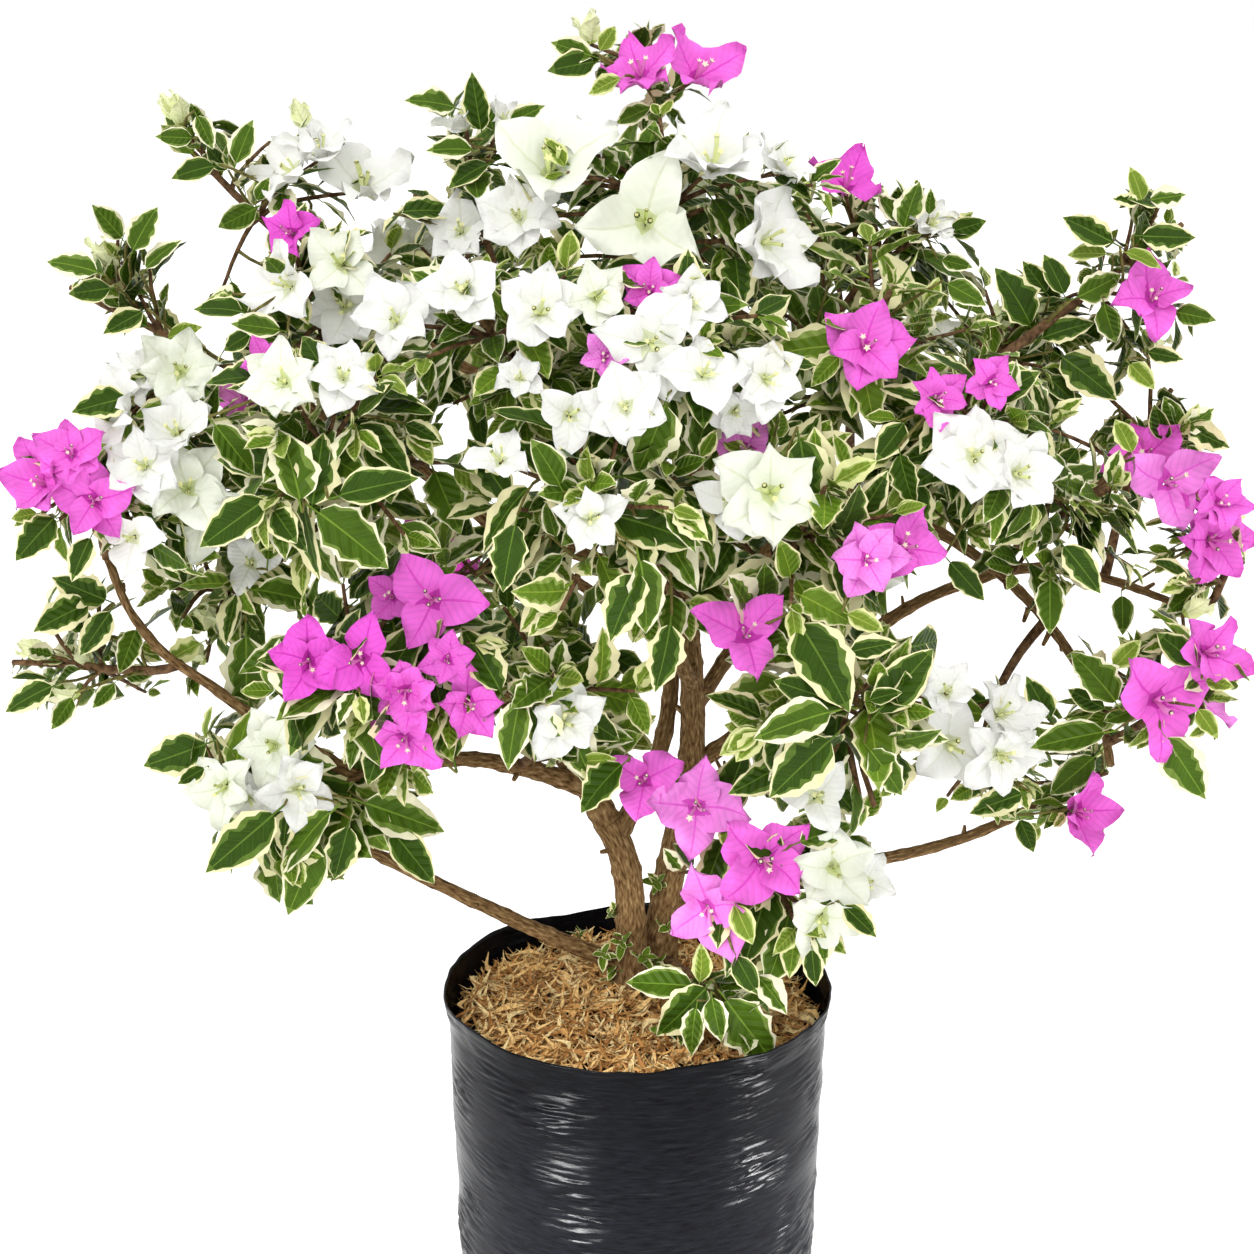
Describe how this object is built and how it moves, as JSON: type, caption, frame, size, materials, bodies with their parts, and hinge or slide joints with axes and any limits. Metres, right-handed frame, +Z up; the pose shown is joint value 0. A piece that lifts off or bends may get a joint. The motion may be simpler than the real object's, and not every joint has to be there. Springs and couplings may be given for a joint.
{
  "type": "potted bougainvillea bush",
  "caption": "Two-stemmed flowering bush with spreading boughs, variegated leaves and white and magenta bracts, rooted in a black film nursery bag.",
  "frame": {"origin": "middle of the bag's flat underside", "axes": "+Z up along the stems, -Y the bush's front, +X to the front view's right"},
  "size_m": [0.9284, 0.6137, 1.054],
  "materials": {
    "film": "black polyethylene film, creased, satin gloss",
    "mix": "coarse tan wood chips over moist mix",
    "bark": "grey-brown bark with nodes and short stubs",
    "foliage": "soft leaves and papery bracts"
  },
  "bodies": {
    "root": {"bag": "film", "potting_mix": "mix", "left_stem": "bark", "right_stem": "bark", "left_rising_bough": "bark", "left_low_limb": "bark", "right_low_limb": "bark", "left_bough": "bark", "inner_bough": "bark", "right_arch_inner": "bark", "right_arch_outer": "bark", "right_upper_bough": "bark", "right_drop_limb": "bark", "mid_left_bough": "bark", "leader_left": "bark", "leader_right": "bark", "high_left_bough": "bark", "far_left_limb": "bark", "front_bough": "bark", "front_right_bough": "bark", "back_left_bough": "bark", "back_right_bough": "bark", "mass_top": "foliage", "mass_top_centre": "foliage", "mass_upper_left": "foliage", "mass_high_left": "foliage", "mass_left_tip": "foliage", "mass_left_shoulder": "foliage", "mass_left_centre": "foliage", "mass_centre_left_upper": "foliage", "mass_centre_upper": "foliage", "mass_centre": "foliage", "mass_centre_low": "foliage", "mass_centre_right": "foliage", "mass_left_magenta": "foliage", "mass_left_low_mid": "foliage", "mass_left_outer": "foliage", "mass_left_low_outer": "foliage", "mass_lower_left": "foliage", "mass_upper_right": "foliage", "mass_far_upper_right": "foliage", "mass_right_high": "foliage", "mass_right_shoulder": "foliage", "mass_right_mid": "foliage", "mass_right_outer_upper": "foliage", "mass_right_outer": "foliage", "mass_right_low_mid": "foliage", "mass_right_drop": "foliage", "mass_right_inner_white": "foliage", "mass_right_low_tip": "foliage", "mass_right_front": "foliage", "mass_front_spray": "foliage", "mass_base_shoot": "foliage", "mass_back_top": "foliage", "mass_back_top_left": "foliage", "mass_back_left": "foliage", "mass_back_low_left": "foliage", "mass_back_centre": "foliage", "mass_back_right": "foliage", "mass_back_low_right": "foliage"}
  },
  "joints": []
}
